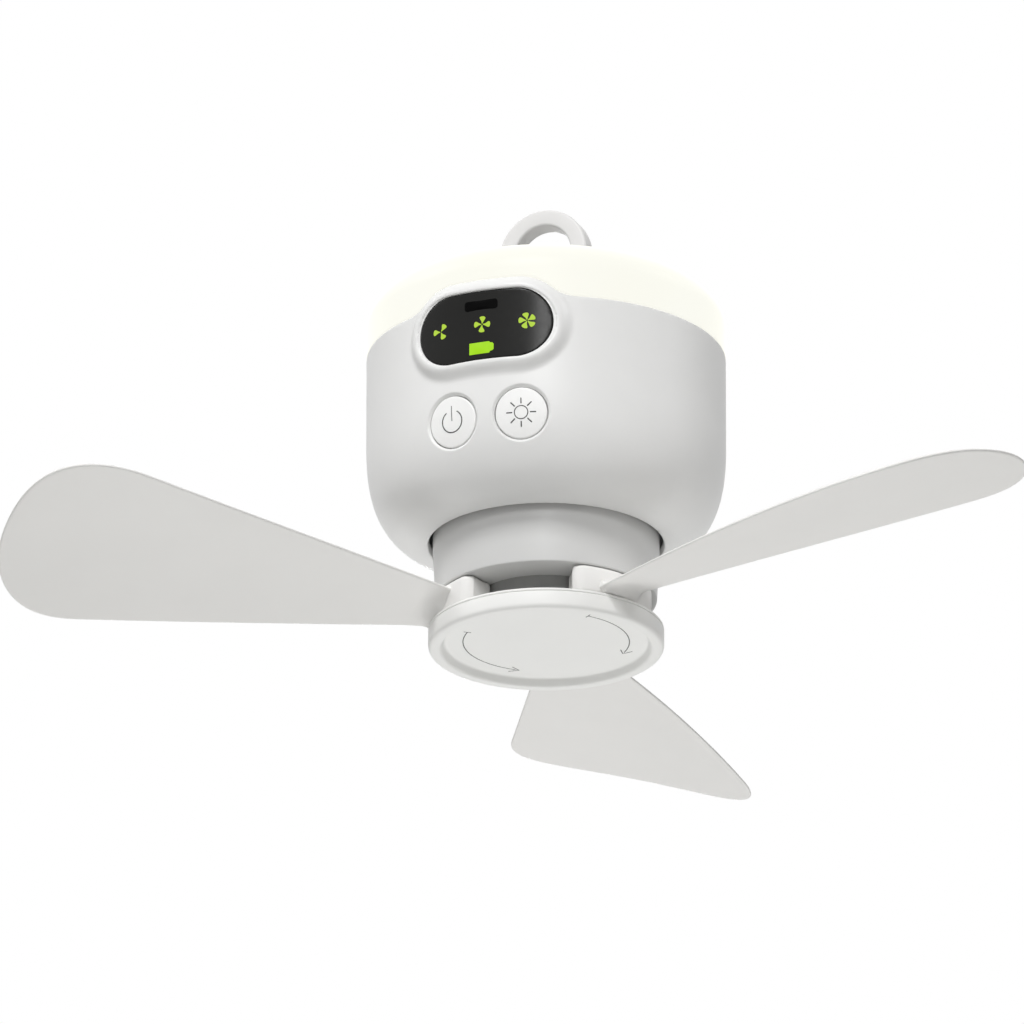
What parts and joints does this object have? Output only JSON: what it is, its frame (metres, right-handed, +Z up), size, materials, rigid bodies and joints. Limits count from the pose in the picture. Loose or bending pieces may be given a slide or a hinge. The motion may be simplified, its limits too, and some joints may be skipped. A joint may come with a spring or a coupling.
{
  "type": "camping fan",
  "caption": "Hanging camping fan: round battery housing with a lamp dome, a folding ring, a front display, two push buttons and a rotor with pull-out blades under it.",
  "frame": {"origin": "the point where the fan hangs: the inside top of its ring, on the rotor axis", "axes": "+Z up along the rotor axis, out of the ring; the display faces -Y; +X to the right seen from the front"},
  "size_m": [0.3163, 0.3046, 0.146],
  "materials": {
    "housing_plastic": "satin",
    "diffuser_plastic": "satin",
    "ring_plastic": "satin",
    "display_plastic": "polished",
    "icon_green": "gloss",
    "filter_plastic": "gloss",
    "key_plastic": "satin",
    "circuit_board": "satin",
    "white_board": "satin",
    "led_plastic": "gloss",
    "black_plastic": "matte",
    "socket_steel": "satin",
    "cell_can": "satin",
    "tray_plastic": "matte",
    "copper": "satin",
    "lead_rubber": "satin",
    "screw_steel": "satin",
    "bracket_aluminium": "satin",
    "core_steel": "satin",
    "bearing_steel": "satin",
    "bell_steel": "satin",
    "magnet": "matte",
    "hub_plastic": "satin",
    "blade_plastic": "satin",
    "cap_plastic": "satin"
  },
  "bodies": {
    "housing": {"housing_shell": "housing_plastic", "lamp_diffuser": "diffuser_plastic", "ring_seat": "white_board", "ring_pin": "bearing_steel", "lamp_base": "white_board", "base_screws": "screw_steel", "led_board": "white_board", "lamp_leds": "led_plastic", "display_window": "display_plastic", "display_icons": "icon_green", "ir_window": "filter_plastic", "display_board": "circuit_board", "switch_board": "circuit_board", "button_switches": "black_plastic", "main_board": "circuit_board", "main_board_parts": "black_plastic", "charge_port": "socket_steel", "battery_cells": "cell_can", "battery_tray": "tray_plastic", "battery_lid": "tray_plastic", "wiring": "lead_rubber", "motor_bracket": "bracket_aluminium", "bracket_screws": "screw_steel", "stator_core": "core_steel", "stator_coils": "copper", "motor_bearings": "bearing_steel"},
    "ring": {"hanging_ring": "ring_plastic"},
    "power_key": {"power_button": "key_plastic"},
    "light_key": {"light_button": "key_plastic"},
    "rotor": {"motor_shaft": "bearing_steel", "motor_bell": "bell_steel", "magnet_ring": "magnet", "rotor_drum": "housing_plastic", "blade_hub": "hub_plastic", "hub_screws": "screw_steel"},
    "cap": {"hub_cap": "cap_plastic"},
    "blade_a": {"blade_1": "blade_plastic"},
    "blade_b": {"blade_2": "blade_plastic"},
    "blade_c": {"blade_3": "blade_plastic"}
  },
  "joints": [
    {"name": "ring_fold", "type": "hinge", "parent": "housing", "child": "ring", "pos_m": [0, 0, -0.0266], "axis": [-1, 0, 0], "range_deg": [0, 90]},
    {"name": "power_press", "type": "slide", "parent": "housing", "child": "power_key", "axis": [0.2062, 0.9785, 0], "range_m": [0, 0.0008], "stiffness_N_per_m": 600, "springref_m": -0.001},
    {"name": "light_press", "type": "slide", "parent": "housing", "child": "light_key", "axis": [-0.2062, 0.9785, 0], "range_m": [0, 0.0008], "stiffness_N_per_m": 600, "springref_m": -0.001},
    {"name": "rotor_spin", "type": "hinge", "parent": "housing", "child": "rotor", "pos_m": [0, 0, 0], "axis": [0, 0, 1], "continuous": true},
    {"name": "cap_twist", "type": "hinge", "parent": "rotor", "child": "cap", "pos_m": [0, 0, 0], "axis": [0, 0, -1], "range_deg": [0, 30]},
    {"name": "blade_a_pull", "type": "slide", "parent": "rotor", "child": "blade_a", "axis": [-0.0906, 0.9959, 0], "range_m": [0, 0.02]},
    {"name": "blade_b_pull", "type": "slide", "parent": "rotor", "child": "blade_b", "axis": [-0.8171, -0.5764, 0], "range_m": [0, 0.02]},
    {"name": "blade_c_pull", "type": "slide", "parent": "rotor", "child": "blade_c", "axis": [0.9078, -0.4195, 0], "range_m": [0, 0.02]}
  ]
}
